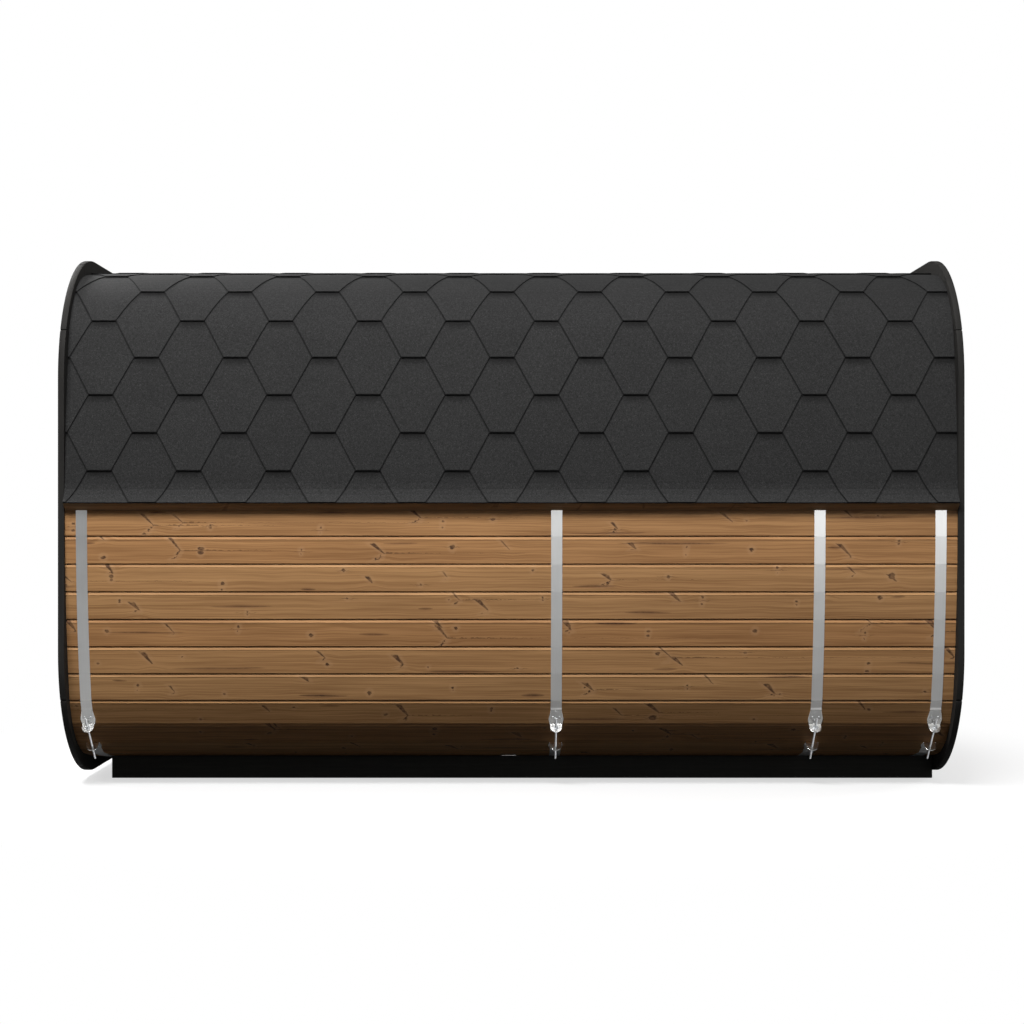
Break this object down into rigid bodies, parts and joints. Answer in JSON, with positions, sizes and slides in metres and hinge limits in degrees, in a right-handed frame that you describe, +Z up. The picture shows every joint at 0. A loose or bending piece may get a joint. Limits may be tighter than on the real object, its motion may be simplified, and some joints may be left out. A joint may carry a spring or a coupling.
{
  "type": "stave-built cube sauna cabin",
  "caption": "Cube-shaped garden sauna cabin of long timber staves held by steel straps, with black end rings, a shingle roof, a small open porch with a glass door, and two base beams",
  "frame": {"origin": "on the ground, under the middle of the cabin", "axes": "+X along the cabin towards the porch end, +Y across, +Z up; the side at -Y is the one called near"},
  "size_m": [3.5, 2.158, 2.126],
  "materials": {
    "stave_wood": "oiled heat-treated softwood",
    "wall_wood": "oiled heat-treated softwood",
    "batten_wood": "oiled heat-treated softwood",
    "deck_wood": "planed heat-treated softwood",
    "grip_wood": "smooth, oiled",
    "black_wood": "matt black stain",
    "black_beam": "matt black stain",
    "shingles": "black mineral granules",
    "steel_strap": "bright rolled steel",
    "steel_plate": "bright rolled steel",
    "zinc_steel": "bright zinc",
    "tinted_glass": "tinted safety glass"
  },
  "bodies": {
    "root": {"shell_floor": "stave_wood", "shell_ceiling": "stave_wood", "shell_side_near": "stave_wood", "shell_side_far": "stave_wood", "shell_corner_low_near": "stave_wood", "shell_corner_low_far": "stave_wood", "shell_corner_high_near": "stave_wood", "shell_corner_high_far": "stave_wood", "front_ring_sides": "black_wood", "front_ring_top": "black_wood", "front_ring_bottom": "black_wood", "front_ring_corners": "black_wood", "rear_ring_sides": "black_wood", "rear_ring_top": "black_wood", "rear_ring_bottom": "black_wood", "rear_ring_corners": "black_wood", "roofing_near": "shingles", "roofing_far": "shingles", "eave_battens": "batten_wood", "strap_rear": "steel_strap", "strap_middle": "steel_strap", "strap_wall": "steel_strap", "strap_front": "steel_strap", "tension_brackets_near": "steel_plate", "tension_brackets_far": "steel_plate", "tension_rods_near": "zinc_steel", "tension_rods_far": "zinc_steel", "tension_nuts_near": "zinc_steel", "tension_nuts_far": "zinc_steel", "base_beam_near": "black_beam", "base_beam_far": "black_beam", "packing_plates": "steel_plate", "rear_wall": "wall_wood", "front_wall_near": "wall_wood", "front_wall_far": "wall_wood", "front_wall_top": "wall_wood", "front_wall_base": "wall_wood", "door_frame": "black_wood", "door_glass": "tinted_glass", "door_grips": "grip_wood", "door_hinges": "zinc_steel", "floor_deck": "deck_wood", "porch_deck": "deck_wood", "deck_bearers": "deck_wood"}
  },
  "joints": []
}
